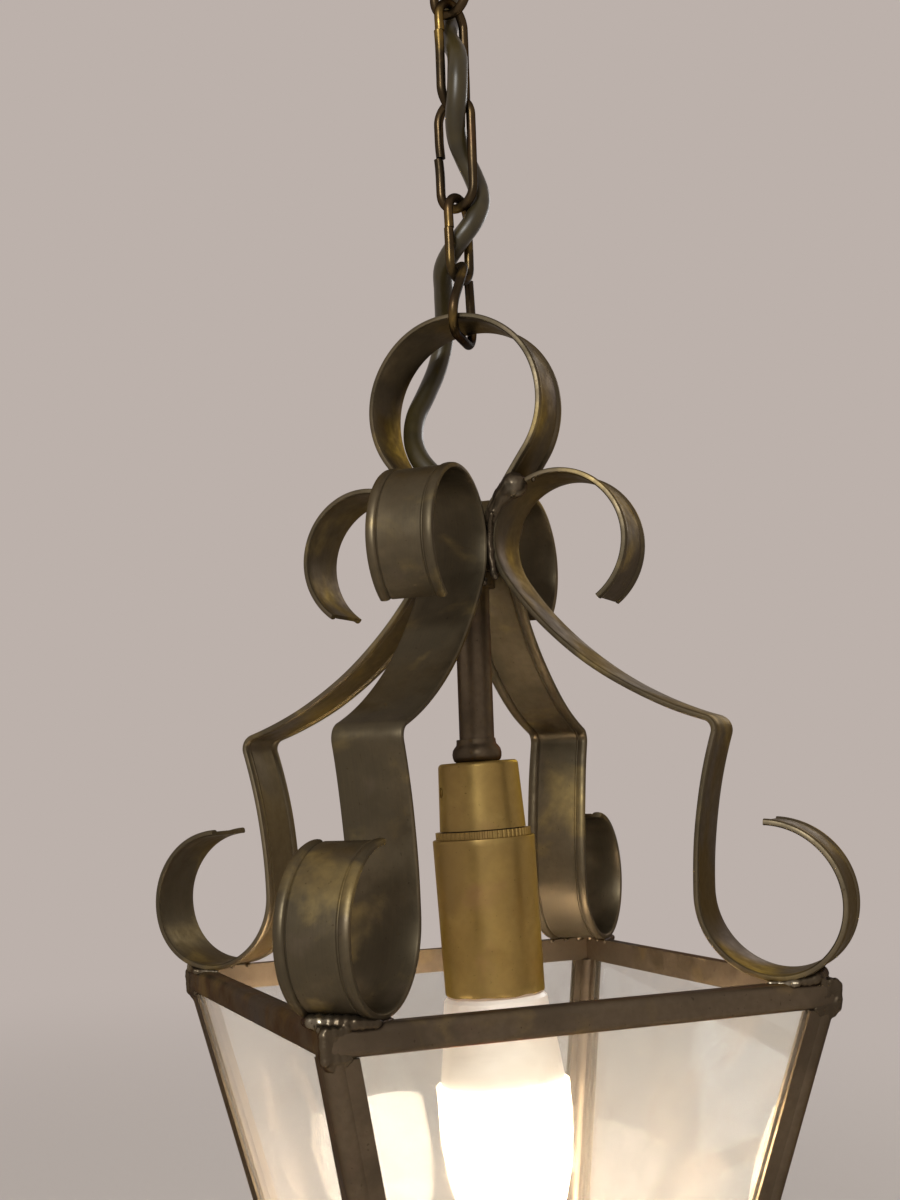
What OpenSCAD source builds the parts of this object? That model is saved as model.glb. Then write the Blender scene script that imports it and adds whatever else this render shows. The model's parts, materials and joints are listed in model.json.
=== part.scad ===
/* [Ceiling fitting] */
// Length of the steel crossbar that is screwed to the ceiling
bar_len = 76; // [60:1:80]
// Width of the crossbar
bar_w = 16; // [14:1:20]
// Thickness of the crossbar
bar_t = 2.5; // [2:0.1:4]
// Distance between the two ceiling screw holes of the crossbar
bar_hole_pitch = 60; // [50:1:64]
// Diameter of the ceiling screw holes
bar_hole_d = 4.5; // [3.5:0.1:5.5]
// Outside diameter of the canopy
canopy_d = 92; // [84:1:120]
// Depth of the canopy below the ceiling
canopy_h = 27; // [24:0.5:40]
// Height of the straight rim above the rounded part of the canopy
canopy_rim_h = 6; // [4:0.5:8]
// Sheet thickness of the spun canopy
canopy_wall = 1; // [0.8:0.1:1.6]
// Distance from the axis to the cable outlet in the canopy
outlet_r = 17; // [16:0.5:20]
// Compass angle of the cable outlet round the axis
outlet_turn = 62; // [50:1:75]
// Outside diameter of the cable outlet bush
outlet_d = 11; // [10:0.5:12]
// Height of the terminal block
block_h = 12; // [10:0.5:13]

/* [Threaded tube] */
// Outside diameter of the threaded tubes, at the canopy and in the stem
tube_d = 10; // [9.6:0.1:10.4]
// Bore of the threaded tubes
tube_bore = 8; // [7:0.1:8.2]
// Width across the flats of the lock nuts
nut_af = 13; // [12.4:0.1:13.4]
// Thickness of the lock nuts
nut_t = 4; // [3:0.5:5]

/* [Hanging loop] */
// Outside diameter of the loop's collar
loop_collar_d = 14; // [13:0.5:16]
// Height of the loop's collar
loop_collar_h = 8; // [7:0.5:10]
// Thickness of the loop's round bar
loop_bar_d = 4; // [3.4:0.1:4.6]
// Inside diameter of the loop
loop_inner_d = 16; // [14:0.5:18]

/* [Chain] */
// Wire diameter of the chain and of the hook
wire_d = 2.8; // [2.4:0.1:3]
// Outside length of the three long links
link_len = 36.2; // [30:0.1:42]
// Outside width of the long links
link_w = 14.9; // [14:0.1:16]
// Outside length of the short link above the hook
short_len = 27.9; // [26:0.1:34]
// Outside width of the short link
short_w = 13; // [12.6:0.1:15]
// Width of the butt joint that is left open in each link
link_split = 0.3; // [0.2:0.05:0.6]
// Compass angle of the uppermost link; every other long link stands square to it
chain_turn = -59.5; // [-68:0.5:-52]
// Compass angle of the short link
short_turn = 34; // [28:0.5:36]

/* [Hook] */
// Half the width of the hook's flat bottom
hook_flat = 5.6; // [4:0.1:6]
// Bending radius of the hook's two lower corners
hook_corner_r = 6.4; // [5.6:0.1:7]
// Height of the hook between the wire centres, before its top bend is twisted
hook_h = 21.5; // [20:0.5:26]
// Bending radius of the hook's top
hook_top_r = 6; // [5.6:0.1:6.4]
// Compass angle of the hook's bottom
hook_turn = 52.7; // [45:0.1:56]
// Twist of the hook's top bend about its leg
hook_twist = 44; // [40:1:50]
// Length of the hook's free leg above its corner
hook_free_len = 13.5; // [10:0.5:16]

/* [Flat strip] */
// Width of the brass strip of the scrolls and of the hanging ring
strip_w = 19.6; // [16:0.1:20]
// Thickness of the strip between its edge beads
strip_t = 1.2; // [0.8:0.1:1.6]
// Height of the edge beads above the strip
bead_h = 0.6; // [0.4:0.05:0.8]
// Width of an edge bead
bead_w = 3; // [2:0.1:4]

/* [Hanging ring] */
// Inside radius of the hanging ring
ring_inner_r = 25.2; // [23:0.1:28]
// Sweep of the ring's round part on each side of its top
ring_sweep = 125; // [118:1:130]
// Bending radius where the ring's legs turn down
ring_foot_r = 14; // [10:0.5:18]
// Height of the ring's centre above the hub
ring_rise = 42.4; // [40:0.1:48]
// Length of the ring's legs inside the hub
ring_leg = 6; // [4:0.5:7]

/* [Scrolls] */
// Radius of the first part of the upper curl
upper_r = 19.8; // [18:0.1:21]
// Sweep of the first part of the upper curl
upper_sweep = 124.7; // [110:0.1:130]
// Radius of the upper curl where it lies on the hub
hub_bend_r = 18.4; // [17.5:0.1:19.5]
// Sweep of the upper curl where it lies on the hub
hub_bend_sweep = 142.9; // [138:0.1:146]
// Radius of the long arm
arm_r = 103.4; // [95:0.1:110]
// Sweep of the long arm
arm_sweep = 38.7; // [36:0.1:41]
// Radius of the shoulder
shoulder_r = 3.7; // [3:0.1:6]
// Sweep of the shoulder
shoulder_sweep = 89.8; // [86:0.1:92]
// Radius of the neck
neck_r = 147.4; // [130:0.1:160]
// Sweep of the neck
neck_sweep = 16.5; // [15:0.1:18]
// Radius of the lower curl's inner side
low_in_r = 20.9; // [20:0.1:22]
// Sweep of the lower curl's inner side
low_in_sweep = 76.8; // [70:0.1:80]
// Radius of the lower curl's outer side
low_mid_r = 17.8; // [17:0.1:19]
// Sweep of the lower curl's outer side
low_mid_sweep = 88.5; // [80:0.1:95]
// Radius of the lower curl's end
low_end_r = 20.7; // [19:0.1:22]
// Sweep of the lower curl's end
low_end_sweep = 102.6; // [90:0.1:105]

/* [Hub] */
// Half the width of the hub between the scrolls
hub_half = 9.75; // [9.75:0.05:10.4]
// Height of the hub block
hub_h = 12; // [10:0.5:14]

/* [Stem] */
// Length of the stem below the hub block
stem_drop = 52; // [40:1:70]
// Thickness of the insulating bush's flange
bush_flange_t = 1; // [0.8:0.1:1.2]

/* [Lampholder] */
// Lean of the lampholder away from upright
holder_lean = 2.3; // [0:0.1:2.6]
// Compass direction of the lean
lean_turn = -22.7; // [-40:0.1:0]
// Outside diameter of the lampholder's collar
collar_d = 14; // [13.4:0.1:16]
// Height of the lampholder's collar
collar_h = 6.5; // [5:0.5:9]
// Outside diameter of the cap at its top
cap_top_d = 22.9; // [22.4:0.1:23.4]
// Outside diameter of the cap at its bottom
cap_bottom_d = 24.5; // [24:0.1:26]
// Height of the cap
cap_h = 19; // [17:0.5:22]
// Rounding of the cap's upper edge
cap_round = 1.2; // [0.8:0.1:3]
// Wall of the cap
cap_wall = 1.2; // [0.8:0.1:1.4]
// Outside diameter of the knurled ring
knurl_d = 27.1; // [26:0.1:29]
// Height of the knurled ring
knurl_h = 2; // [1.6:0.1:3]
// Number of notches round the knurled ring
knurl_count = 60; // [30:1:72]
// Outside diameter of the skirt at its top
skirt_top_d = 29; // [28.6:0.1:31]
// Outside diameter of the skirt at its rim
skirt_rim_d = 28; // [27.8:0.1:31]
// Inside diameter of the skirt
skirt_bore = 26.4; // [26:0.1:26.8]
// Length of the skirt
skirt_len = 43.4; // [41:0.1:50]
// Inside diameter of the lamp thread shell
shell_bore = 14.2; // [14.1:0.1:14.6]
// Sheet thickness of the lamp thread shell
shell_wall = 0.4; // [0.3:0.05:0.6]

/* [Lamp] */
// Diameter of the lamp's screw cap
lamp_cap_d = 14; // [13.6:0.1:14]
// Length of the lamp's screw cap
lamp_cap_len = 20; // [16:0.5:22]
// Diameter of the lamp's shoulder under the lampholder
shoulder_d = 29; // [26:0.5:30]
// Length of the white neck under the lampholder
neck_len = 24; // [18:0.5:30]
// Largest diameter of the lamp
lamp_d = 37; // [35:0.5:40]
// Length of the diffuser
diffuser_len = 59; // [50:0.5:66]
// Rounding of the diffuser's tip
tip_r = 3.5; // [3:0.1:5]
// Wall of the diffuser
diffuser_wall = 1.2; // [0.8:0.1:1.6]

/* [Glass case] */
// Side of the square of top rails over their outer faces
case_side = 139; // [130:0.5:146]
// Height of the top rails
rail_h = 7.2; // [6:0.1:9]
// Depth of the rails from their outer to their inner face
rail_t = 5; // [4.6:0.1:6]
// Rounding of the rails' outer edges
rail_round = 2; // [0.8:0.1:2.4]
// Height of the panes between the rails
pane_h = 158; // [120:1:200]
// Inward slope of each pane, in mm for each mm of height
pane_slope = 0.24; // [0.16:0.01:0.26]
// Thickness of the glass
glass_t = 2; // [1.6:0.1:2.4]
// Height of the bottom rails
foot_rail_h = 6; // [5:0.5:9]
// Visible width of the corner posts on each pane
wing_w = 7.5; // [7.2:0.1:11]
// Sheet thickness of the corner posts
wing_t = 0.8; // [0.6:0.1:1.1]
// Diameter of the rounded outer corner of the corner posts
ridge_d = 6.6; // [6:0.1:7]

/* [Flex] */
// Outside diameter of the flex
flex_d = 6; // [5.6:0.1:6.2]
// Diameter of one insulated core
core_d = 1.8; // [1.6:0.05:1.8]

/* [Hidden] */
$fn = 96;

// Clearances
link_gap = 0.25;
seat_gap = 0.1;
turn_gap = 0.3;
running_gap = 0.08;
thread_gap = 0.05;
glass_gap = 0.2;
ceiling_gap = 0.5;

// How far a cut runs beyond the faces that it opens
over = 1;

// How far every second stretch of a bent strip or wire runs into its neighbours, and by how much it is
// slimmer
lap_len = 0.1;
lap_slim = 0.01;
bead_steps = 3;

// Levels of the ceiling fitting, all measured from the ceiling plane at z = 0
outlet_x = outlet_r * cos(outlet_turn);
outlet_y = outlet_r * sin(outlet_turn);
outlet_bore = flex_d + 0.5;
outlet_hole = outlet_d - 2;
outlet_flange = 2.5;
outlet_sleeve = 5;
loop_r = (loop_inner_d + loop_bar_d) / 2;
loop_z = -canopy_h - loop_collar_h - loop_r + loop_bar_d / 2 + 0.8;
nipple_foot_z = -canopy_h - loop_collar_h + 2;
loop_bottom_z = loop_z - loop_r;
block_z = -bar_t - block_h;
flex_top_z = block_z - 4;
block_len = 22;
block_w = 14;
way_pitch = 7;
core_pitch = core_d + 0.2;
core_grip = 3;
way_z = 7;
screw_d = 3.2;
screw_len = 2.4;
slot_w = 0.6;
slot_depth = 0.8;

// Levels of the chain: the upper wire centre of each link, and its lower one
long_pitch = link_len - wire_d;
short_pitch = short_len - wire_d;
link_step = wire_d + link_gap;
link_1_top = loop_bottom_z + (loop_bar_d + wire_d) / 2 + link_gap;
link_1_bottom = link_1_top - long_pitch;
link_2_top = link_1_bottom + link_step;
link_2_bottom = link_2_top - long_pitch;
link_3_top = link_2_bottom + link_step;
link_3_bottom = link_3_top - long_pitch;
link_4_top = link_3_bottom + link_step;
link_4_bottom = link_4_top - short_pitch;
// The hook meets the short link askew, so it rides higher than a link that stands square: by this
// much, and by what the twist of its top adds
skew_rise = 0.5;
hook_top = link_4_bottom + link_step + skew_rise;
hook_bottom = hook_top - hook_h;

// The hook is traced from its free end down, along its bottom and up a leg that leans in to its top bend
free_lean = 8;
top_turn = 145;
hook_rise = hook_h - hook_corner_r - hook_top_r;
hook_span = norm([hook_flat, hook_rise]);
hook_step = hook_corner_r - hook_top_r;
leg_lean = atan(hook_flat / hook_rise) + asin(hook_step / hook_span);
hook_bends = [
    [hook_free_len, 0, 0],
    [hook_corner_r, 90 + free_lean, -1],
    [2 * hook_flat, 0, 0],
    [hook_corner_r, 90 + leg_lean, -1],
    [sqrt(hook_span * hook_span - hook_step * hook_step), 0, 0],
    [hook_top_r, top_turn - leg_lean, -1]
];
hook_start = [
    hook_flat + hook_corner_r * cos(free_lean) - hook_free_len * sin(free_lean),
    hook_corner_r * (1 + sin(free_lean)) + hook_free_len * cos(free_lean),
    -90 + free_lean
];
// Where the twisted top bend is highest: how far round it, how high, and how far out of the leg's plane
apex_angle = atan(1 / (tan(leg_lean) * cos(hook_twist)));
apex_bulge = hook_top_r * (1 - cos(apex_angle));
apex_z = hook_h - hook_top_r * (1 - sin(leg_lean)) + hook_top_r * sin(apex_angle) * cos(leg_lean)
    - apex_bulge * cos(hook_twist) * sin(leg_lean);
hook_tilt = atan(apex_bulge * sin(hook_twist) / apex_z);
leg_state = state_at(hook_bends, hook_start, 3);
top_state = state_at(hook_bends, hook_start, 5);

// The ring's edges rest in the hook's rounded corners
corner_in_r = hook_corner_r - wire_d / 2;
edge_in = strip_w / 2 - hook_flat;
saddle_rise = hook_corner_r - sqrt(corner_in_r * corner_in_r - edge_in * edge_in);
ring_z = hook_bottom + saddle_rise + link_gap - ring_inner_r;
hub_z = ring_z - ring_rise;

// The strip's reach on its beaded side, from the middle of its thickness
strip_out = strip_t / 2 + bead_h;
bead_r = (bead_w * bead_w / 4 + bead_h * bead_h) / (2 * bead_h);

// Bends of one scroll, from the tip of the upper curl to the tip of the lower one:
// radius, sweep, and 1 for a turn to the left of the way or -1 for one to the right
scroll_bends = [
    [upper_r, upper_sweep, 1],
    [hub_bend_r, hub_bend_sweep, 1],
    [arm_r, arm_sweep, 1],
    [shoulder_r, shoulder_sweep, -1],
    [neck_r, neck_sweep, 1],
    [low_in_r, low_in_sweep, 1],
    [low_mid_r, low_mid_sweep, 1],
    [low_end_r, low_end_sweep, 1]
];
// Direction from the upper curl's centre to its tip
upper_tip_angle = -54.1;
hub_start_angle = upper_tip_angle + upper_sweep;
curl_x = hub_half + seat_gap + strip_out + hub_bend_r - (upper_r - hub_bend_r) * cos(hub_start_angle);
scroll_start = [
    curl_x + upper_r * cos(upper_tip_angle),
    upper_r * sin(upper_tip_angle),
    upper_tip_angle + 90
];

// A state is the place and the heading at which a bend starts
function turned(s, b) = b[2] == 0
    ? [s[0] + b[0] * cos(s[2]), s[1] + b[0] * sin(s[2]), s[2]]
    : [
        s[0] + b[2] * b[0] * (sin(s[2] + b[2] * b[1]) - sin(s[2])),
        s[1] - b[2] * b[0] * (cos(s[2] + b[2] * b[1]) - cos(s[2])),
        s[2] + b[2] * b[1]
    ];
function state_at(bends, start, i) =
    i == 0 ? start : turned(state_at(bends, start, i - 1), bends[i - 1]);
function bend_centre(s, b) = [s[0] - b[2] * b[0] * sin(s[2]), s[1] + b[2] * b[0] * cos(s[2])];

// The lowest point of the lower curl lies at the foot of one of its two first bends
low_state = state_at(scroll_bends, scroll_start, 5);
mid_state = state_at(scroll_bends, scroll_start, 6);
low_centre = bend_centre(low_state, scroll_bends[5]);
mid_centre = bend_centre(mid_state, scroll_bends[6]);
curl_foot = mid_state[2] > 360
    ? low_centre[1] - low_in_r - strip_out
    : mid_centre[1] - low_mid_r - strip_out;
rail_top_z = hub_z + curl_foot - seat_gap;

// The ring's legs run down between the hub block and two of the scrolls
ring_r = ring_inner_r + strip_t / 2;
ring_lean = ring_sweep - 90;
ring_leg_x = hub_half - strip_out;
ring_foot_in = ring_foot_r * (1 - cos(ring_lean));
ring_straight = (ring_r * cos(ring_lean) - ring_leg_x - ring_foot_in) / sin(ring_lean);
ring_bends = [
    [ring_leg, 0, 0],
    [ring_foot_r, ring_lean, 1],
    [ring_straight, 0, 0],
    [ring_r, 2 * ring_sweep, -1],
    [ring_straight, 0, 0],
    [ring_foot_r, ring_lean, 1],
    [ring_leg, 0, 0]
];
ring_drop = (ring_r + ring_foot_r) * sin(ring_lean) + ring_straight * cos(ring_lean) + ring_leg;
block_side = hub_half - 2 * strip_out + bead_h - seat_gap;

// Levels of the stem and the lampholder
hub_top_z = hub_z + hub_h / 2;
hub_bottom_z = hub_z - hub_h / 2;
top_nut_t = 2.5;
stem_top_z = hub_top_z + top_nut_t + 0.5;
stem_bottom_z = hub_bottom_z - stem_drop;
tube_hole = tube_d + 2 * thread_gap;
collar_bore = tube_d + 0.8;
collar_bulge_h = collar_h * 0.7;
collar_neck_r = collar_bore / 2 + 0.5;
bush_sleeve = 5;
holder_z = stem_bottom_z - 2;
flex_foot = -3;
cap_screw_z = -8;
cap_screw_d = 2.9;
cap_screw_t = 1;
cap_screw_turn = 200;
terminal_x = 5.5;
terminal_d = 3.9;
terminal_h = 6.5;
knurl_top = -cap_h - turn_gap;
skirt_top = knurl_top - knurl_h;
skirt_rim = skirt_top - skirt_len;
core_top = -8;
core_neck_r = cap_top_d / 2 - cap_wall - 0.6;
lip_r = core_neck_r + 1.2;
skirt_lip_t = 0.9;
notch_r = 0.5;
core_thread_r = skirt_bore / 2 - running_gap;
core_thread_z = skirt_top - 1.4;
core_thread_h = 8;
core_r = core_thread_r - 0.8;
socket_top = skirt_top - 13;
core_bottom = skirt_rim + 5;
shell_r = shell_bore / 2 + shell_wall;
contact_len = 6;
contact_w = 4;
contact_t = 0.5;
contact_pin_d = 3;

// Levels of the lamp, in the lampholder's own direction
shoulder_z = skirt_rim - 0.4;
lamp_cap_bottom = core_bottom - 1;
lamp_cap_top = lamp_cap_bottom + lamp_cap_len;
lamp_cap_wall = 0.6;
insulator_h = 3;
insulator_top_d = 6;
lamp_contact_d = 5;
lamp_contact_h = 0.9;
lamp_top = lamp_cap_top + insulator_h + lamp_contact_h;
diffuser_z = shoulder_z - neck_len;
lamp_r = lamp_d / 2;
board_r = lamp_r - 4;
board_t = 1.6;
led_count = 6;
led_r = 9;
led_w = 3;
led_h = 1;
bulge_h = 7.5;
tip_z = diffuser_z - diffuser_len + tip_r;
ogive_z = diffuser_z - bulge_h;
ogive_drop = ogive_z - tip_z;
ogive_r = (ogive_drop * ogive_drop + lamp_r * lamp_r - tip_r * tip_r) / (2 * (lamp_r - tip_r));
ogive_angle = atan2(ogive_drop, ogive_r - lamp_r);
flank_steps = 16;
tip_steps = 5;

// Levels and sizes of the glass case
rail_bottom_z = rail_top_z - rail_h;
foot_top_z = rail_bottom_z - pane_h;
half = case_side / 2;
rail_lip = 1.5;
pane_top = half - rail_lip;
pane_foot = pane_top - pane_h * pane_slope;
foot_half = pane_foot + rail_lip;
pane_tilt = atan(pane_slope);
pane_len = pane_h / cos(pane_tilt);
groove_t = glass_t + 2 * glass_gap;
glass_bite = 1.5;
// The round corner of a post stands a little proud of its flat wings
ridge_proud = 0.25;
ridge_in = ridge_d / 2 - wing_t - ridge_proud;
glass_edge_in = ridge_in + ridge_d / 2 + 0.4;
lump_in = 1.6;
top_lump_r = 3.6;
foot_lump_r = 3;

// Flex: centre line from the terminal block to the lampholder, chosen by hand
route = [
    [8, 15, flex_top_z], [8, 15, -26], [8, 15, -33], [7.5, 14, -45], [6.5, 13.5, -55],
    [6, 13, -64], [5, 11.5, -73], [3, 8.5, -81], [0, 3, -88], [-0.5, -4.5, -96.5],
    [-1.5, -7, -104], [-1.8, -6.5, -111], [-1.5, -4, -117], [0.3, -1, -122], [3.4, 0.8, -127],
    [5.8, 0.8, -132], [7, -0.2, -137], [6.4, -1.4, -142], [3.5, -2, -147.5], [-0.2, 0.7, -153],
    [-2, 7.5, -158.5], [0.5, 14.5, -164], [2.5, 19.5, -171], [2.5, 21.5, -178], [0.5, 22.5, -186],
    [-3.5, 21.5, -194], [-8, 19.5, -202], [-10.5, 15.5, -210], [-10.5, 10.5, -217], [-7.5, 6, -223],
    [-3.5, 2.5, -228], [-1.2, 0.8, -232], [0, 0, -237], [0, 0, -246], [0, 0, -262],
    [0, 0, -278], [0, 0, -294], [0, 0, holder_z + flex_foot + 0.1]
];
flex_sides = 10;

// Colours
brass = [0.55, 0.43, 0.22];
dark_brass = [0.36, 0.27, 0.15];
solder_grey = [0.45, 0.42, 0.36];
steel = [0.7, 0.7, 0.7];
phenolic = [0.16, 0.13, 0.11];
white = [0.93, 0.92, 0.88];
glass_tint = [0.75, 0.85, 0.85, 0.4];
flex_brown = [0.25, 0.22, 0.13];

// A strip or a wire bent along a list of bends, in the XY plane; the child is its cross-section,
// with +X to the right of the way and +Y across the strip. Every second stretch is a hair
// slimmer and runs a little way into both its neighbours, so that all of them join into one solid;
// first is the number of the first stretch, where another call draws those before it
module bent(bends, start, first = 0) {
    for (i = [0 : len(bends) - 1]) {
        $slim = ((first + i) % 2) * lap_slim;
        lap = ((first + i) % 2) * lap_len;
        b = bends[i];
        s = state_at(bends, start, i);
        c = bend_centre(s, b);
        lap_turn = lap * 180 / (PI * b[0]);
        if (b[2] == 0)
            translate([s[0], s[1], 0]) rotate([0, 0, s[2]]) rotate([90, 0, 90])
                translate([0, 0, -lap]) linear_extrude(b[0] + 2 * lap) mirror([1, 0]) children();
        if (b[2] > 0)
            translate([c[0], c[1], 0]) rotate([0, 0, s[2] - 90 - lap_turn])
                rotate_extrude(angle = b[1] + 2 * lap_turn) translate([b[0], 0]) children();
        if (b[2] < 0)
            translate([c[0], c[1], 0]) rotate([0, 0, s[2] + 90 - b[1] - lap_turn])
                rotate_extrude(angle = b[1] + 2 * lap_turn) translate([b[0], 0]) mirror([1, 0]) children();
    }
}

// Flat on one face, with a rounded bead along each edge of the other
module strip_section() {
    t = strip_t - 2 * $slim;
    w = strip_w - 2 * $slim;
    bead_angle = asin(bead_w / 2 / bead_r);
    bead = [
        for (k = [-bead_steps : bead_steps])
            let (a = bead_angle * k / bead_steps)
                [strip_out - $slim - bead_r * (1 - cos(a)), (bead_w / 2 - $slim) * sin(a) / sin(bead_angle)]
    ];
    mid = w / 2 - bead_w / 2 + $slim;
    polygon(concat(
        [[-t / 2, w / 2], [-t / 2, -w / 2]],
        [for (q = bead) [q[0], q[1] - mid]],
        [for (q = bead) [q[0], q[1] + mid]]
    ));
}

module wire_section() {
    circle(wire_d / 2 - $slim, $fn = 32);
}

module tube(r_out, r_in, z_low, z_high) {
    translate([0, 0, z_low]) difference() {
        cylinder(r = r_out, h = z_high - z_low);
        translate([0, 0, -over]) cylinder(r = r_in, h = z_high - z_low + 2 * over);
    }
}

module lock_nut(z_low, t) {
    translate([0, 0, z_low]) difference() {
        cylinder(d = nut_af / cos(30), h = t, $fn = 6);
        translate([0, 0, -over]) cylinder(d = tube_hole, h = t + 2 * over);
    }
}

// Ceiling fitting

module ceiling_bracket() {
    color(steel) difference() {
        translate([-bar_len / 2, -bar_w / 2, -bar_t]) cube([bar_len, bar_w, bar_t]);
        for (s = [-1, 1]) translate([s * bar_hole_pitch / 2, 0, -bar_t - over])
            cylinder(d = bar_hole_d, h = bar_t + 2 * over);
        translate([0, 0, -bar_t - over]) cylinder(d = tube_hole, h = bar_t + 2 * over);
    }
}

module nipple() {
    color(steel) tube(tube_d / 2, tube_bore / 2, nipple_foot_z, -ceiling_gap);
}

module nipple_nut() {
    color(steel) lock_nut(-bar_t - seat_gap - nut_t, nut_t);
}

module canopy_outline(inset) {
    dish_r = canopy_h - canopy_rim_h - inset;
    dish_x = canopy_d / 2 - canopy_h + canopy_rim_h;
    translate([dish_x, -canopy_rim_h]) intersection() {
        circle(dish_r);
        translate([0, -dish_r]) square(dish_r);
    }
    translate([0, -canopy_h + inset]) square([dish_x, canopy_h - inset - ceiling_gap]);
    translate([0, -canopy_rim_h]) square([canopy_d / 2 - inset, canopy_rim_h - ceiling_gap]);
}

module canopy() {
    color(brass) difference() {
        rotate_extrude() difference() {
            canopy_outline(0);
            translate([0, 0.1]) canopy_outline(canopy_wall);
        }
        translate([0, 0, -canopy_h - over]) cylinder(d = tube_hole, h = canopy_wall + 2 * over);
        translate([outlet_x, outlet_y, -canopy_h - over])
            cylinder(d = outlet_hole, h = canopy_wall + 2 * over);
    }
}

module outlet_bush() {
    color(phenolic) translate([outlet_x, outlet_y, 0]) difference() {
        union() {
            translate([0, 0, -canopy_h - outlet_flange]) cylinder(d = outlet_d, h = outlet_flange);
            translate([0, 0, -canopy_h]) cylinder(d = outlet_hole - seat_gap, h = outlet_sleeve);
        }
        translate([0, 0, -canopy_h - outlet_flange - over])
            cylinder(d = outlet_bore, h = outlet_flange + outlet_sleeve + 2 * over);
    }
}

module hanging_loop() {
    color(brass) difference() {
        union() {
            translate([0, 0, -canopy_h - loop_collar_h]) cylinder(d = loop_collar_d, h = loop_collar_h);
            translate([0, 0, loop_z]) rotate([0, 0, chain_turn + 90]) rotate([90, 0, 0])
                rotate_extrude() translate([loop_r, 0]) circle(loop_bar_d / 2);
        }
        translate([0, 0, nipple_foot_z - seat_gap]) cylinder(d = tube_hole, h = loop_collar_h);
    }
}

// Three ways side by side; the cores come in from below and the screws sit on the outer side
module at_block() {
    translate([outlet_x, outlet_y, block_z]) rotate([0, 0, outlet_turn]) children();
}

module terminal_block() {
    color(white) at_block() difference() {
        translate([-block_w / 2, -block_len / 2, 0]) cube([block_w, block_len, block_h]);
        for (s = [-1, 0, 1]) {
            translate([0, s * core_pitch, -over])
                cylinder(d = core_d + seat_gap, h = over + core_grip + 0.5);
            translate([block_w / 2 - screw_len - seat_gap, s * way_pitch, way_z]) rotate([0, 90, 0])
                cylinder(d = screw_d + 2 * seat_gap, h = block_w);
        }
    }
}

module terminal_screws() {
    color(brass) at_block() for (s = [-1, 0, 1])
        translate([block_w / 2 - screw_len, s * way_pitch, way_z]) rotate([0, 90, 0]) difference() {
            cylinder(d = screw_d, h = screw_len);
            translate([-screw_d, -slot_w / 2, screw_len - slot_depth])
                cube([2 * screw_d, slot_w, slot_depth + over]);
        }
}

module flex_cores_ceiling() {
    color(flex_brown) at_block() for (s = [-1, 0, 1])
        translate([0, s * core_pitch, flex_top_z - block_z])
            cylinder(d = core_d, h = block_z - flex_top_z + core_grip);
}

// Chain

// The butt joint lies on one leg, this far above the middle of the link
module chain_link(len, w, turn, z_top, joint_rise = 0) {
    pitch = len - wire_d;
    bend_r = (w - wire_d) / 2;
    leg = pitch - 2 * bend_r;
    bends = [[leg, 0, 0], [bend_r, 180, 1], [leg, 0, 0], [bend_r, 180, 1]];
    translate([0, 0, z_top - pitch / 2]) rotate([0, 0, turn]) rotate([90, 0, 0]) difference() {
        bent(bends, [bend_r, -leg / 2, 90]) wire_section();
        translate([-bend_r - wire_d, joint_rise, -wire_d]) cube([2 * wire_d, link_split, 2 * wire_d]);
    }
}

module chain_link_1() {
    color(dark_brass) chain_link(link_len, link_w, chain_turn, link_1_top);
}

module chain_link_2() {
    color(dark_brass) chain_link(link_len, link_w, chain_turn + 90, link_2_top, 6);
}

module chain_link_3() {
    color(dark_brass) chain_link(link_len, link_w, chain_turn, link_3_top);
}

module chain_link_4() {
    color(dark_brass) chain_link(short_len, short_w, short_turn, link_4_top, 2);
}

// The free leg and the bottom stand upright. The other leg leans about the bottom wire and its top bend
// is twisted about it, so that the top comes to lie over the bottom
module hook_link() {
    color(dark_brass) translate([0, 0, hook_bottom]) rotate([0, 0, hook_turn]) {
        rotate([90, 0, 0]) bent([for (i = [0 : 2]) hook_bends[i]], hook_start) wire_section();
        rotate([90 + hook_tilt, 0, 0]) {
            bent([hook_bends[3], hook_bends[4]], leg_state, 3) wire_section();
            translate([top_state[0], top_state[1], 0]) rotate([0, 0, top_state[2]])
                rotate([hook_twist, 0, 0]) bent([hook_bends[5]], [0, 0, 0], 5) wire_section();
        }
    }
}

// Lantern frame

module hanging_ring() {
    color(dark_brass) translate([0, 0, ring_z]) rotate([0, 0, -45]) rotate([90, 0, 0])
        bent(ring_bends, [-ring_leg_x, -ring_drop, 90]) mirror([1, 0]) strip_section();
}

module scroll(turn) {
    color(dark_brass) translate([0, 0, hub_z]) rotate([0, 0, turn]) rotate([90, 0, 0])
        bent(scroll_bends, scroll_start) strip_section();
}

module scroll_fl() { scroll(-135); }
module scroll_fr() { scroll(-45); }
module scroll_br() { scroll(45); }
module scroll_bl() { scroll(135); }

module hub_block() {
    color(brass) rotate([0, 0, 45]) translate([0, 0, hub_bottom_z]) difference() {
        translate([-hub_half, -block_side, 0]) cube([2 * hub_half, 2 * block_side, hub_h]);
        translate([0, 0, -over]) cylinder(d = tube_hole, h = hub_h + 2 * over);
    }
}

module hub_solder() {
    lump_r = 2.2;
    lump_h = 7;
    at = strip_w / 2 + seat_gap + lump_r;
    color(solder_grey) rotate([0, 0, 45]) for (x = [-1, 1], y = [-1, 1])
        translate([x * at, y * at, hub_z - lump_h / 2]) {
            cylinder(r = lump_r, h = lump_h);
            sphere(lump_r);
            translate([0, 0, lump_h]) sphere(lump_r);
        }
}

module stem_tube() {
    color(brass) tube(tube_d / 2, tube_bore / 2, stem_bottom_z, stem_top_z);
}

module stem_top_nut() {
    color(brass) lock_nut(hub_top_z + seat_gap, top_nut_t);
}

module stem_lower_nut() {
    color(brass) lock_nut(hub_bottom_z - seat_gap - nut_t, nut_t);
}

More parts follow.
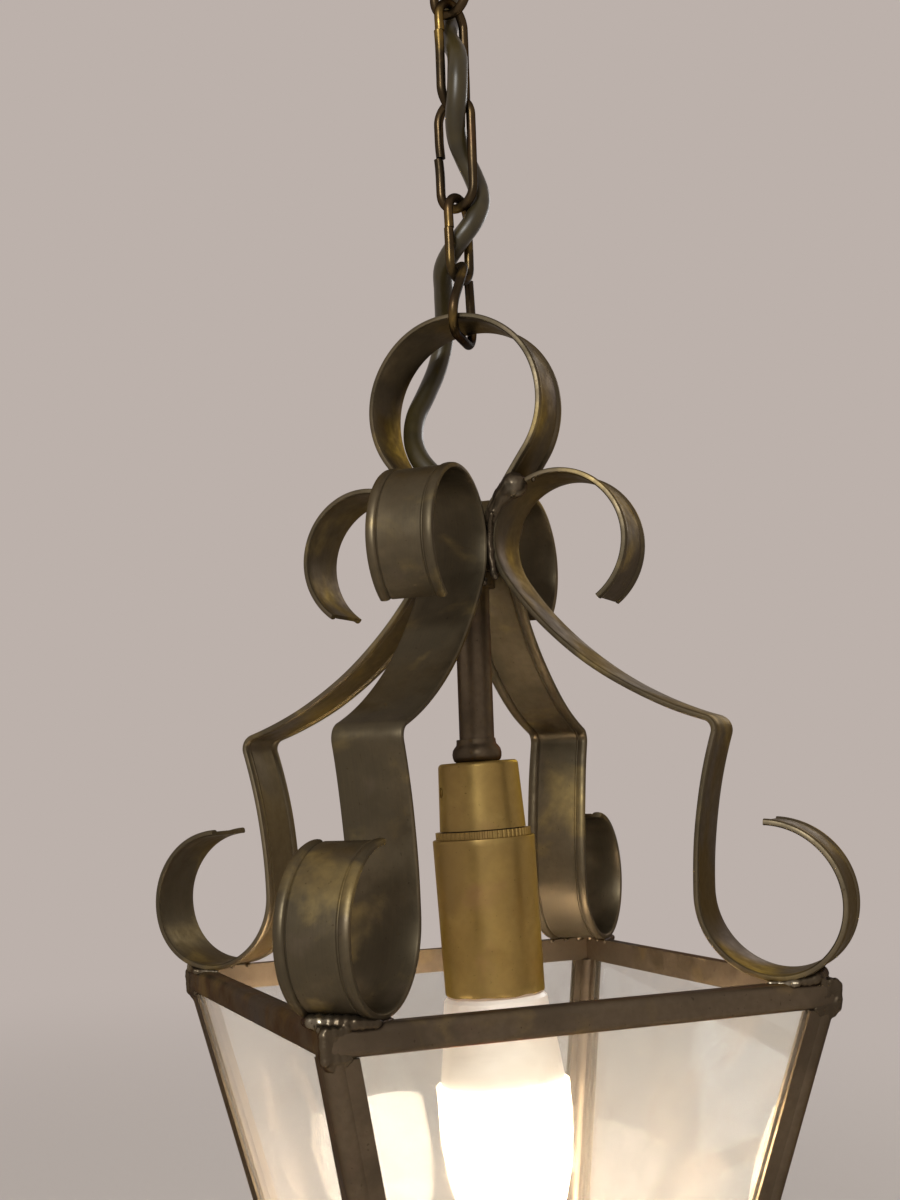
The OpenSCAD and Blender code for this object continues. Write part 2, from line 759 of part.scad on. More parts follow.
module stem_bush() {
    flange_z = stem_top_z + seat_gap;
    color(phenolic) difference() {
        union() {
            translate([0, 0, flange_z]) cylinder(d = tube_d, h = bush_flange_t);
            translate([0, 0, flange_z - bush_sleeve]) cylinder(d = tube_bore - seat_gap, h = bush_sleeve);
        }
        translate([0, 0, flange_z - bush_sleeve - over])
            cylinder(d = flex_d + 1, h = bush_sleeve + bush_flange_t + 2 * over);
    }
}

// Lampholder and lamp, drawn upright below their own origin and leaned about it

module in_holder() {
    translate([0, 0, holder_z]) rotate([0, 0, lean_turn]) rotate([0, -holder_lean, 0]) children();
}

// The collar bulges over its lower half and draws in to a narrow neck
module holder_collar() {
    bulge = [
        for (a = [-60 : 15 : 60])
            [
                collar_d / 2 - collar_bulge_h / 2 * (1 - cos(a)),
                collar_bulge_h / 2 * (1 + sin(a) / sin(60))
            ]
    ];
    color(brass) in_holder() difference() {
        rotate_extrude() polygon(concat(
            [[0, 0]], bulge,
            [[collar_neck_r, collar_bulge_h + 0.6], [collar_neck_r, collar_h], [0, collar_h]]
        ));
        translate([0, 0, -over]) cylinder(d = collar_bore, h = collar_h + 2 * over);
    }
}

module cap_outline(inset) {
    top_r = cap_top_d / 2 - inset;
    round_r = cap_round - inset / 2;
    foot = inset > 0 ? over : 0;
    edge = [
        for (a = [0 : 15 : 90])
            [top_r - round_r * (1 - sin(a)), -inset - round_r * (1 - cos(a))]
    ];
    polygon(concat(
        [[0, -inset]], edge,
        [[cap_bottom_d / 2 - inset, -cap_h], [cap_bottom_d / 2 - inset, -cap_h - foot], [0, -cap_h - foot]]
    ));
}

module holder_cap() {
    color(brass) in_holder() difference() {
        rotate_extrude() difference() {
            cap_outline(0);
            cap_outline(cap_wall);
        }
        translate([0, 0, -cap_wall - over]) cylinder(d = tube_bore, h = cap_wall + 2 * over);
        at_cap_screw(cap_wall + over) cylinder(d = cap_screw_d + seat_gap, h = cap_wall + 3 * over);
    }
}

// The small screw of the cap lies a little below the cap's surface
module at_cap_screw(depth) {
    rotate([0, 0, cap_screw_turn]) translate([cap_top_d / 2 - depth, 0, cap_screw_z]) rotate([0, 90, 0])
        children();
}

module cap_screw() {
    color(brass) in_holder() at_cap_screw(cap_screw_t + seat_gap) difference() {
        cylinder(d = cap_screw_d, h = cap_screw_t);
        translate([-cap_screw_d, -slot_w / 2, cap_screw_t / 2])
            cube([2 * cap_screw_d, slot_w, cap_screw_t]);
    }
}

module flex_cores_holder() {
    color(flex_brown) in_holder() for (k = [0 : 2]) rotate([0, 0, 120 * k])
        translate([core_d * 0.62, 0, core_top + seat_gap])
            cylinder(d = core_d, h = flex_foot - core_top - seat_gap);
}

module holder_core() {
    color(phenolic) in_holder() difference() {
        union() {
            translate([0, 0, core_thread_z]) cylinder(r = core_neck_r, h = core_top - core_thread_z);
            translate([0, 0, core_thread_z - core_thread_h]) cylinder(r = core_thread_r, h = core_thread_h);
            translate([0, 0, core_bottom]) cylinder(r = core_r, h = core_thread_z - core_bottom);
        }
        translate([0, 0, core_bottom - over])
            cylinder(r = shell_r + thread_gap, h = socket_top - core_bottom + over);
        for (s = [-1, 1]) translate([s * terminal_x, 0, core_top - terminal_h])
            cylinder(d = terminal_d + seat_gap, h = terminal_h + over);
    }
}

module thread_shell() {
    color(brass) in_holder() tube(shell_r, shell_bore / 2, core_bottom + 0.5, socket_top - 4);
}

module centre_contact() {
    plate_z = socket_top - seat_gap - contact_t;
    pin_z = lamp_top + turn_gap;
    color(brass) in_holder() {
        translate([-contact_len / 2, -contact_w / 2, plate_z]) cube([contact_len, contact_w, contact_t]);
        translate([0, 0, pin_z]) cylinder(d = contact_pin_d, h = plate_z + contact_t / 2 - pin_z);
    }
}

module core_terminals() {
    color(brass) in_holder() for (s = [-1, 1])
        translate([s * terminal_x, 0, core_top - terminal_h + seat_gap]) difference() {
            cylinder(d = terminal_d, h = terminal_h);
            translate([-terminal_d, -slot_w / 2, terminal_h - slot_depth])
                cube([2 * terminal_d, slot_w, slot_depth + over]);
        }
}

module knurled_ring() {
    color(brass) in_holder() translate([0, 0, knurl_top - knurl_h]) linear_extrude(knurl_h) difference() {
        circle(knurl_d / 2);
        circle(lip_r);
        for (k = [0 : knurl_count - 1]) rotate(360 * k / knurl_count)
            translate([knurl_d / 2 + notch_r / 2, 0]) circle(notch_r, $fn = 16);
    }
}

module holder_skirt() {
    color(brass) in_holder() difference() {
        translate([0, 0, skirt_rim])
            cylinder(r1 = skirt_rim_d / 2, r2 = skirt_top_d / 2, h = skirt_len - thread_gap);
        translate([0, 0, skirt_rim - over]) cylinder(d = skirt_bore, h = skirt_len + over - skirt_lip_t);
        translate([0, 0, skirt_rim]) cylinder(r = lip_r, h = skirt_len + over);
    }
}

module lamp_cap() {
    cap_r = lamp_cap_d / 2;
    color(steel) in_holder() tube(cap_r, cap_r - lamp_cap_wall, lamp_cap_bottom, lamp_cap_top);
}

module lamp_insulator() {
    color(phenolic) in_holder() translate([0, 0, lamp_cap_top])
        cylinder(d1 = lamp_cap_d, d2 = insulator_top_d, h = insulator_h);
}

module lamp_contact() {
    color(steel) in_holder() translate([0, 0, lamp_cap_top + insulator_h])
        cylinder(d = lamp_contact_d, h = lamp_contact_h);
}

module lamp_neck() {
    in_r = skirt_rim_d / 2 - 3;
    color(white) in_holder() rotate_extrude() polygon([
        [0, lamp_cap_bottom], [in_r, lamp_cap_bottom], [in_r, shoulder_z],
        [shoulder_d / 2 - 1, shoulder_z], [shoulder_d / 2, shoulder_z - 1],
        [lamp_r - 1, diffuser_z], [0, diffuser_z]
    ]);
}

// The flame shape: a short straight part, a long arc that leans in, and a small round tip
module diffuser_outline(inset) {
    open = inset > 0 ? over : 0;
    flank = [
        for (k = [0 : flank_steps])
            let (a = ogive_angle * k / flank_steps)
                [lamp_r - ogive_r + (ogive_r - inset) * cos(a), ogive_z - (ogive_r - inset) * sin(a)]
    ];
    tip = [
        for (k = [1 : tip_steps])
            let (a = ogive_angle + (90 - ogive_angle) * k / tip_steps)
                [(tip_r - inset) * cos(a), tip_z - (tip_r - inset) * sin(a)]
    ];
    polygon(concat(
        [[0, diffuser_z - seat_gap + open], [lamp_r - inset, diffuser_z - seat_gap + open]], flank, tip
    ));
}

module lamp_diffuser() {
    color("white") in_holder() rotate_extrude() difference() {
        diffuser_outline(0);
        diffuser_outline(diffuser_wall);
    }
}

module led_board() {
    color(white) in_holder() translate([0, 0, diffuser_z - seat_gap - board_t]) {
        cylinder(r = board_r, h = board_t);
        for (k = [0 : led_count - 1]) rotate([0, 0, 360 * k / led_count])
            translate([led_r, -led_w / 2, -led_h]) cube([led_w, led_w, led_h + board_t / 2]);
    }
}

// Glass case

module rail_section(h) {
    union() {
        translate([-rail_t, 0]) square([rail_t - rail_round, h]);
        translate([-rail_t, rail_round]) square([rail_t, h - 2 * rail_round]);
        for (y = [rail_round, h - rail_round]) translate([-rail_round, y]) circle(rail_round);
    }
}

// Places a child on one side of the case: turn 0 is the front, which faces -Y
module on_side(turn) {
    rotate([0, 0, turn]) children();
}

// The sloping outer plane of a pane: X along the rail, Y up the slope, Z outwards
module on_pane(turn) {
    on_side(turn) translate([0, -pane_top, rail_bottom_z]) rotate([90 + pane_tilt, 0, 0]) children();
}

module pane_slot(turn) {
    reach = glass_bite + 0.6;
    on_pane(turn) translate([-case_side, -pane_len - reach, -groove_t])
        cube([2 * case_side, pane_len + 2 * reach, groove_t]);
}

module rail(turn, side, h, z_low) {
    difference() {
        on_side(turn) intersection() {
            translate([-side, -side, z_low]) rotate([90, 0, 90])
                linear_extrude(2 * side) mirror([1, 0]) rail_section(h);
            translate([0, 0, z_low - over]) linear_extrude(h + 2 * over)
                polygon([[0, 0], [side + over, -side - over], [-side - over, -side - over]]);
        }
        pane_slot(turn);
    }
}

module top_rail(turn) {
    color(dark_brass) rail(turn, half, rail_h, rail_bottom_z);
}

module foot_rail(turn) {
    color(dark_brass) rail(turn, foot_half, foot_rail_h, foot_top_z - foot_rail_h);
}

module top_rail_front() { top_rail(0); }
module top_rail_right() { top_rail(90); }
module top_rail_back() { top_rail(180); }
module top_rail_left() { top_rail(270); }
module foot_rail_front() { foot_rail(0); }
module foot_rail_right() { foot_rail(90); }
module foot_rail_back() { foot_rail(180); }
module foot_rail_left() { foot_rail(270); }

// A strip of the pane's plane along its right edge, from inset to inset + width
module edge_strip(inset, width, z_low, z_high) {
    translate([0, 0, z_low]) linear_extrude(z_high - z_low) polygon([
        [pane_top - inset, 0], [pane_top - inset - width, 0],
        [pane_foot - inset - width, -pane_len], [pane_foot - inset, -pane_len]
    ]);
}

module wings(turn) {
    on_pane(turn) {
        edge_strip(ridge_in, wing_w - ridge_in, 0, wing_t);
        edge_strip(groove_t, wing_w - groove_t, -groove_t - wing_t, -groove_t);
    }
}

module ridge() {
    top = pane_top - ridge_in;
    foot = pane_foot - ridge_in;
    run = (top - foot) * sqrt(2);
    lean = atan(run / pane_h);
    translate([foot, -foot, foot_top_z]) rotate([0, 0, -45]) rotate([0, lean, 0])
        translate([0, 0, -ridge_d]) cylinder(d = ridge_d, h = pane_h / cos(lean) + 2 * ridge_d);
}

// One corner post, on the right of the side with this turn
module post(turn) {
    color(dark_brass) intersection() {
        union() {
            wings(turn);
            rotate([0, 0, turn + 90]) mirror([1, 0, 0]) wings(0);
            rotate([0, 0, turn]) ridge();
        }
        translate([-case_side, -case_side, foot_top_z]) cube([2 * case_side, 2 * case_side, pane_h]);
    }
}

module post_fr() { post(0); }
module post_br() { post(90); }
module post_bl() { post(180); }
module post_fl() { post(270); }

module pane(turn) {
    edge_top = pane_top - glass_edge_in;
    edge_foot = pane_foot - glass_edge_in;
    bite = glass_bite * pane_slope;
    color(glass_tint) on_pane(turn) translate([0, 0, -glass_gap - glass_t])
        linear_extrude(glass_t) polygon([
            [edge_top + bite, glass_bite], [-edge_top - bite, glass_bite],
            [-edge_foot + bite, -pane_len - glass_bite], [edge_foot - bite, -pane_len - glass_bite]
        ]);
}

module pane_front() { pane(0); }
module pane_right() { pane(90); }
module pane_back() { pane(180); }
module pane_left() { pane(270); }

// A drop of solder on the outer corner of two rails, hollowed where the corner lies in it
module corner_lump(turn, side, z, r) {
    outer = side + seat_gap / 2;
    difference() {
        on_side(turn) translate([side - lump_in, lump_in - side, z]) sphere(r);
        translate([-outer, -outer, z - 2 * r]) cube([2 * outer, 2 * outer, 4 * r]);
    }
}

module corner_solder() {
    color(solder_grey) for (turn = [0 : 90 : 270]) {
        corner_lump(turn, half, rail_bottom_z + rail_h / 2, top_lump_r);
        corner_lump(turn, foot_half, foot_top_z - foot_rail_h / 2, foot_lump_r);
    }
}

// Flex

// A point a share t of the way from route point i to the next, on a curve through all of them
function between(p, i, t) =
    let (
        n = len(p) - 1,
        a = p[max(i - 1, 0)], b = p[i], c = p[min(i + 1, n)], d = p[min(i + 2, n)]
    )
        b + t * (c - a) / 2
            + t * t * (a - 2.5 * b + 2 * c - d / 2)
            + t * t * t * (1.5 * (b - c) + (d - a) / 2);
flex_path = [
    for (i = [0 : len(route) - 2]) each [route[i], between(route, i, 0.5)],
    route[len(route) - 1]
];
function unit(v) = v / norm(v);
function way(p, i) = unit(p[min(i + 1, len(p) - 1)] - p[max(i - 1, 0)]);
function side_of(d) = unit(cross(d, [1, 0.3, 0]));
function ring_at(p, i, r) = [
    for (k = [0 : flex_sides - 1])
        let (d = way(p, i), u = side_of(d), v = cross(d, u), a = 360 * k / flex_sides)
            p[i] + r * (cos(a) * u + sin(a) * v)
];

module swept_tube(p, r) {
    n = len(p);
    m = flex_sides;
    points = [for (i = [0 : n - 1]) each ring_at(p, i, r)];
    walls = [
        for (i = [0 : n - 2], k = [0 : m - 1])
            let (a = i * m + k, b = i * m + (k + 1) % m)
                each [[a, b, b + m], [a, b + m, a + m]]
    ];
    ends = [[for (k = [0 : m - 1]) m - 1 - k], [for (k = [0 : m - 1]) (n - 1) * m + k]];
    polyhedron(points = points, faces = concat(walls, ends));
}

module flex() {
    color(flex_brown) swept_tube(flex_path, flex_d / 2);
}

ceiling_bracket();
nipple();
nipple_nut();
canopy();
outlet_bush();
hanging_loop();
terminal_block();
terminal_screws();
flex();
flex_cores_ceiling();
chain_link_1();
chain_link_2();
chain_link_3();
chain_link_4();
hook_link();
hanging_ring();
scroll_fl();
scroll_fr();
scroll_br();
scroll_bl();
hub_block();
hub_solder();
stem_tube();
stem_top_nut();
stem_lower_nut();
stem_bush();
holder_collar();
holder_cap();
cap_screw();
flex_cores_holder();
holder_core();
thread_shell();
centre_contact();
core_terminals();
knurled_ring();
holder_skirt();
lamp_cap();
lamp_insulator();
lamp_contact();
lamp_neck();
lamp_diffuser();
led_board();
top_rail_front();
top_rail_right();
top_rail_back();
top_rail_left();
foot_rail_front();
foot_rail_right();
foot_rail_back();
foot_rail_left();
post_fl();
post_fr();
post_br();
post_bl();
pane_front();
pane_right();
pane_back();
pane_left();
corner_solder();
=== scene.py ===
import json
from math import asin, ceil, cos, pi, radians, sin, sqrt

import bmesh
import bpy
from mathutils import Matrix, Vector, noise


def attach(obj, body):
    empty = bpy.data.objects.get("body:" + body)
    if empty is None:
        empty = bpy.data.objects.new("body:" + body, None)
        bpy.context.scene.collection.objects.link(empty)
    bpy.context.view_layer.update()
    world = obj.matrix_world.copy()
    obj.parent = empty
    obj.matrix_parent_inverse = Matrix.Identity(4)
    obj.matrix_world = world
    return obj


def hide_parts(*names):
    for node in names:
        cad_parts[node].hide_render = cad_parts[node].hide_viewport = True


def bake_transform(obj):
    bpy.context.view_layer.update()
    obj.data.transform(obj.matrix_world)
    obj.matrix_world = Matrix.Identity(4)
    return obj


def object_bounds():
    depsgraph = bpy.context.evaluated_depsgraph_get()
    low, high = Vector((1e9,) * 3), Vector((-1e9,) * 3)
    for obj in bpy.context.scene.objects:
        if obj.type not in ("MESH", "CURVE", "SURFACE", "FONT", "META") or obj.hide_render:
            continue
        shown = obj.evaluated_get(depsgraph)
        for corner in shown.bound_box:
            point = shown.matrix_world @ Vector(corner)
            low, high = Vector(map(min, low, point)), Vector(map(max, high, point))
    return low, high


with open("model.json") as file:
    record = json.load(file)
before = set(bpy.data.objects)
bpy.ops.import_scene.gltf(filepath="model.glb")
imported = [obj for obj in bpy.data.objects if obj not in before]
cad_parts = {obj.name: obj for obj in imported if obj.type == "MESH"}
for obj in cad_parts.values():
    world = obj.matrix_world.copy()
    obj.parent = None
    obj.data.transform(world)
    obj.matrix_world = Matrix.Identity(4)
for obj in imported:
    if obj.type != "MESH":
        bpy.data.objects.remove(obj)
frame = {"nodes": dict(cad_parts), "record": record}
cad_box = [list(corner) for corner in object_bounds()]
nodes = frame["nodes"]

# Everything below is in millimetres until a piece's mesh is scaled by this
MM = 0.001
# Compass angle of each scroll, and of the case's corner under it
CORNERS = {"fl": -135, "fr": -45, "br": 45, "bl": 135}

# Levels and sizes that the pieces share with the solids they stand for
HUB_Z = -246.313
RING_Z = -203.913
HOOK_Z = -182.65
HOLDER_Z = -306.313
RAIL_TOP = -365.414
FOOT_TOP = -530.614
RAIL_H = 7.2
FOOT_RAIL_H = 6
CASE_HALF = 69.5
FOOT_HALF = 31.58
STRIP_W = 19.6
STRIP_T = 1.2
BEAD_H = 0.6
WIRE_D = 2.8
FLEX_D = 6


# Camera, as the photograph was taken

CAMERA_AT = Vector((-174.6, -413.6, -309.3)) * MM
HEADING = 22.08
PITCH = 6.32
ROLL = -1.98
LENS = 31.25
SENSOR = 24


def place_camera():
    data = bpy.data.cameras.new("camera")
    data.sensor_fit = "VERTICAL"
    data.sensor_height = SENSOR
    data.lens = LENS
    data.clip_start = 0.01
    camera = bpy.data.objects.new("camera", data)
    bpy.context.scene.collection.objects.link(camera)
    turn = Matrix.Rotation(radians(-HEADING), 4, "Z") @ Matrix.Rotation(radians(90 + PITCH), 4, "X")
    camera.matrix_world = Matrix.Translation(CAMERA_AT) @ turn @ Matrix.Rotation(radians(ROLL), 4, "Z")
    bpy.context.scene.camera = camera


# Materials

def colour(code):
    """A hex sRGB colour as linear red, green, blue and alpha"""
    parts = [int(code[i:i + 2], 16) / 255 for i in (1, 3, 5)]
    return [p / 12.92 if p <= 0.04045 else ((p + 0.055) / 1.055) ** 2.4 for p in parts] + [1]


def per(size_mm):
    """The scale of a pattern whose features are this many millimetres across"""
    return 1 / (size_mm * MM)


def add(tree, kind, sockets=None, **settings):
    """Adds a node; sockets maps an input's name or number to a value, a colour code or another node's output"""
    made = tree.nodes.new(kind)
    for name, value in settings.items():
        setattr(made, name, value)
    for name, value in (sockets or {}).items():
        if isinstance(value, bpy.types.NodeSocket):
            tree.links.new(value, made.inputs[name])
        else:
            made.inputs[name].default_value = colour(value) if isinstance(value, str) else value
    return made


def blank(name):
    material = bpy.data.materials.new(name)
    material.use_nodes = True
    tree = material.node_tree
    tree.nodes.clear()
    return material, tree


def surface(tree, shader):
    add(tree, "ShaderNodeOutputMaterial", {"Surface": shader})


def patches(tree, where, size_mm, low, high, detail=4, distortion=0.0, shift=0.0):
    """A soft mask, 0 outside and 1 inside patches of this size; shift moves it away from other masks"""
    moved = add(tree, "ShaderNodeVectorMath", {0: where, 1: (shift, -shift, shift)}, operation="ADD")
    spots = add(tree, "ShaderNodeTexNoise", {"Vector": moved.outputs[0], "Scale": per(size_mm), "Detail": detail,
                                             "Distortion": distortion})
    ramp = add(tree, "ShaderNodeMapRange", {"Value": spots.outputs[0], "From Min": low, "From Max": high},
               interpolation_type="SMOOTHSTEP")
    return ramp.outputs["Result"]


def mix_colour(tree, mask, first, second, blend="MIX"):
    """Mixes two colours, each a code or an output, by a mask"""
    made = add(tree, "ShaderNodeMix", {0: mask, 6: first, 7: second}, data_type="RGBA", blend_type=blend)
    return made.outputs[2]


def scaled(tree, value, factor, offset=0.0):
    return add(tree, "ShaderNodeMath", {0: value, 1: factor, 2: offset}, operation="MULTIPLY_ADD").outputs[0]


def aged_brass(name, base, gold, red, dull, gloss, edge="#8a7c66", spread=(0.46, 0.62), rolled=False, relief=1.0):
    """Brass that has browned unevenly in the air: gold where hands kept it bright, reddish and olive in
    patches, with less metal in the look of the brown film and a rougher gloss. Rolled strip also has
    fine scratches along its length, which read its UV map"""
    material, tree = blank(name)
    coordinates = add(tree, "ShaderNodeTexCoord")
    where = coordinates.outputs["Object"]
    film = patches(tree, where, 30, spread[0] - 0.06, spread[1], detail=5, distortion=0.5)
    tone = mix_colour(tree, film, base, dull)
    bright = patches(tree, where, 19, 0.54, 0.72, detail=6, distortion=0.4, shift=0.3)
    tone = mix_colour(tree, scaled(tree, bright, 0.75), tone, gold)
    reddish = patches(tree, where, 13, 0.58, 0.76, detail=5, shift=0.7)
    tone = mix_colour(tree, scaled(tree, reddish, 0.6), tone, red)
    mottle = patches(tree, where, 2.2, 0.3, 0.7, detail=6, shift=0.1)
    tone = mix_colour(tree, scaled(tree, mottle, 0.3), tone, dull)
    specks = patches(tree, where, 0.9, 0.68, 0.76, detail=2, shift=0.5)
    tone = mix_colour(tree, scaled(tree, specks, 0.5), tone, "#2a2118")
    stains = patches(tree, where, 6, 0.3, 0.7, detail=6, shift=0.9)
    rough = scaled(tree, stains, 0.14, gloss - 0.03)
    rough = scaled(tree, mottle, 0.06, rough)
    height = scaled(tree, stains, 0.6, scaled(tree, mottle, 0.25))
    if rolled:
        stretch = add(tree, "ShaderNodeMapping", {"Vector": coordinates.outputs["UV"], "Scale": (0.03, 1, 1)})
        scratches = add(tree, "ShaderNodeTexNoise", {"Vector": stretch.outputs[0], "Scale": per(0.45), "Detail": 3})
        line = scaled(tree, scratches.outputs[0], 0.12)
        tone = mix_colour(tree, line, tone, gold)
        height = scaled(tree, scratches.outputs[0], 0.35, height)
    bump = add(tree, "ShaderNodeBump", {"Height": height, "Distance": 0.06 * MM, "Strength": 0.6 * relief})
    metal = scaled(tree, film, -0.22, 0.96)
    shader = add(tree, "ShaderNodeBsdfPrincipled", {"Base Color": tone, "Metallic": metal, "Roughness": rough,
                                                    "Specular Tint": edge, "Normal": bump.outputs[0]})
    surface(tree, shader.outputs[0])
    return material


def plastic(name, code, gloss, coat=0.0, grain_mm=1.5, second=None, glow=0.0):
    """A moulded or extruded plastic, faintly uneven in tone and skin where it cooled"""
    material, tree = blank(name)
    where = add(tree, "ShaderNodeTexCoord").outputs["Object"]
    tone = mix_colour(tree, patches(tree, where, 8, 0.35, 0.7), code, second or code)
    ripple = patches(tree, where, grain_mm, 0.2, 0.8, detail=3)
    bump = add(tree, "ShaderNodeBump", {"Height": ripple, "Distance": 0.03 * MM, "Strength": 0.4})
    rough = scaled(tree, ripple, 0.08, gloss)
    # glow paints a faint warm emission onto the plastic, a painted glow; only the bulb's neck gets any
    shader = add(tree, "ShaderNodeBsdfPrincipled", {"Base Color": tone, "Roughness": rough, "IOR": 1.5,
                                                    "Coat Weight": coat, "Coat Roughness": 0.25,
                                                    "Emission Color": "#ffd9bc", "Emission Strength": glow,
                                                    "Normal": bump.outputs[0]})
    surface(tree, shader.outputs[0])
    return material


def make_glass():
    """Drawn sheet glass: clear and almost flat, with a film of dust in smears that glows round the lamp.
    Light of lamps passes straight through it"""
    material, tree = blank("drawn_sheet_glass")
    where = add(tree, "ShaderNodeTexCoord").outputs["Object"]
    wave = add(tree, "ShaderNodeTexNoise", {"Vector": where, "Scale": per(45), "Detail": 1})
    bump = add(tree, "ShaderNodeBump", {"Height": wave.outputs[0], "Distance": 0.1 * MM, "Strength": 0.3})
    smear = patches(tree, where, 24, 0.45, 0.8, detail=7, distortion=1.2)
    tone = mix_colour(tree, scaled(tree, smear, 0.35), "#f6f9f7", "#d2cbc2")
    rough = scaled(tree, smear, 0.1, 0.01)
    clear = add(tree, "ShaderNodeBsdfPrincipled", {"Base Color": tone, "Roughness": rough, "IOR": 1.52,
                                                   "Transmission Weight": 1, "Normal": bump.outputs[0]})
    dust = add(tree, "ShaderNodeBsdfTranslucent", {"Color": "#efe4d6"})
    film = add(tree, "ShaderNodeMixShader", {0: scaled(tree, smear, 0.055, 0.04), 1: clear.outputs[0],
                                             2: dust.outputs[0]})
    lamp_light = add(tree, "ShaderNodeBsdfTransparent", {"Color": "#eef2ef"})
    path = add(tree, "ShaderNodeLightPath")
    both = add(tree, "ShaderNodeMixShader", {0: path.outputs["Is Shadow Ray"], 1: film.outputs[0],
                                             2: lamp_light.outputs[0]})
    surface(tree, both.outputs[0])
    return material


def make_opal():
    """The lit diffuser: opal plastic that glows evenly, a little warmer near its edge"""
    material, tree = blank("lit_opal_polycarbonate")
    edge = add(tree, "ShaderNodeLayerWeight", {"Blend": 0.3})
    glow = mix_colour(tree, edge.outputs["Facing"], "#ffecd8", "#ffdcb6")
    shader = add(tree, "ShaderNodeBsdfPrincipled", {"Base Color": "#f6f1e4", "Roughness": 0.35,
                                                    "Emission Color": glow, "Emission Strength": 46})
    surface(tree, shader.outputs[0])
    return material


strip_metal = aged_brass("browned_rolled_brass", "#675d4b", "#938052", "#62574a", "#4c4538", 0.37,
                         edge="#a0978a", rolled=True)
case_metal = aged_brass("browned_drawn_brass", "#6f6250", "#8a7650", "#735f4e", "#54493b", 0.4)
chain_metal = aged_brass("browned_brass_wire", "#51432f", "#94793e", "#5a4432", "#382f22", 0.27, edge="#6e6048")
holder_metal = aged_brass("satin_lacquered_brass", "#a98f55", "#b39a5c", "#a5805a", "#937a4a", 0.34,
                          edge="#c8b890", relief=0.5)
canopy_metal = aged_brass("spun_browned_brass", "#83714c", "#9c8250", "#7c644c", "#645640", 0.34)
contact_metal = aged_brass("bright_turned_brass", "#c8a558", "#d4b468", "#b98e50", "#b0904c", 0.3, edge="#e0cfa0")
solder_metal = aged_brass("tarnished_soft_solder", "#655a49", "#a8a08c", "#5e5040", "#473e32", 0.24)
zinc_metal = aged_brass("zinc_plated_steel", "#b4b4b0", "#c0c0bc", "#a8a49c", "#9c9c98", 0.36, edge="#d8d8d8")
phenolic = plastic("moulded_phenolic", "#241c17", 0.4, second="#2e241c")
white_plastic = plastic("moulded_white_plastic", "#ece8de", 0.35, second="#e4dfd3")
# The bulb's white neck gets a faint emission: a painted glow standing in for the lamp's light shining through it
painted_glow_plastic = plastic("white_plastic_painted_glow", "#ece8de", 0.35, second="#e4dfd3", glow=0.2)
sheath = plastic("extruded_flex_sheath", "#3c3319", 0.33, grain_mm=3, second="#2f2814")
core_plastic = plastic("flex_core_insulation", "#5b3a26", 0.4, second="#4f3222")
glass = make_glass()
opal = make_opal()

FINISHES = {
    "zinc_steel": zinc_metal, "canopy_brass": canopy_metal, "chain_brass": chain_metal,
    "strip_brass": strip_metal, "stem_brass": case_metal, "solder": solder_metal,
    "holder_brass": holder_metal, "contact_brass": contact_metal, "phenolic": phenolic,
    "block_plastic": white_plastic, "flex_sheath": sheath, "flex_core": core_plastic,
    "lamp_metal": zinc_metal, "lamp_white": painted_glow_plastic, "lamp_opal": opal, "led_board": white_plastic,
    "case_brass": case_metal, "clear_glass": glass,
}


def finish_nodes():
    """Gives each CAD node the material of its slot"""
    for part in frame["record"]["subparts"]:
        target = nodes[part["node"]]
        target.data.materials.clear()
        target.data.materials.append(FINISHES[part["material_slot"]])


# Making of pieces

def piece(name, bm, slot, body=None, replaces=(), sharp=40):
    """Makes an object of a mesh drawn in millimetres, in the finish of its slot"""
    bmesh.ops.scale(bm, vec=(MM, MM, MM), verts=bm.verts)
    for face in bm.faces:
        face.smooth = True
    mesh = bpy.data.meshes.new(name)
    bm.to_mesh(mesh)
    bm.free()
    mesh.set_sharp_from_angle(angle=radians(sharp))
    made = bpy.data.objects.new(name, mesh)
    bpy.context.scene.collection.objects.link(made)
    mesh.materials.append(FINISHES[slot])
    if replaces:
        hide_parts(*replaces)
    if body:
        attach(made, body)
    return made


def uneven(bm, amount, size):
    """Moves a mesh's points a little, as hand work leaves them"""
    for point in bm.verts:
        point.co += noise.noise_vector(point.co / size) * amount


def swept(outline, places):
    """Draws an outline along a way. Its points are extruded from place to place, and the UV map
    holds in metres how far along the way and how far round the outline they lie"""
    bm = bmesh.new()
    along = bm.verts.layers.float.new("along")
    around = bm.verts.layers.float.new("around")
    ring = [bm.verts.new((right, across, 0)) for right, across in outline]
    edges = [bm.edges.new((ring[i - 1], ring[i])) for i in range(len(ring))]
    reach = 0
    for i, point in enumerate(ring):
        reach += (point.co - ring[i - 1].co).length if i else 0
        point[around] = reach
    girth = reach + (ring[0].co - ring[-1].co).length
    bmesh.ops.transform(bm, matrix=places[0], verts=ring)
    gone = 0
    for before, after in zip(places, places[1:]):
        made = bmesh.ops.extrude_edge_only(bm, edges=edges)["geom"]
        ring = [item for item in made if isinstance(item, bmesh.types.BMVert)]
        edges = [item for item in made if isinstance(item, bmesh.types.BMEdge)]
        bmesh.ops.transform(bm, matrix=after @ before.inverted(), verts=ring)
        gone += (after.translation - before.translation).length
        for point in ring:
            point[along] = gone
    bmesh.ops.holes_fill(bm, edges=bm.edges, sides=0)
    bmesh.ops.recalc_face_normals(bm, faces=bm.faces)
    flat = bm.loops.layers.uv.new("UVMap")
    for face in bm.faces:
        wraps = max(loop.vert[around] for loop in face.loops) > girth * 0.75
        for loop in face.loops:
            v = loop.vert[around]
            if wraps and v < girth * 0.25:
                v += girth
            loop[flat].uv = (loop.vert[along] * MM, v * MM)
    return bm


def circle(radius, count):
    return [(radius * cos(2 * pi * k / count), radius * sin(2 * pi * k / count)) for k in range(count)]


# Bent ways: a bend is a radius, a sweep and 1 for a turn to the left or -1 for one to the right,
# or a length, 0 and 0 where it runs straight

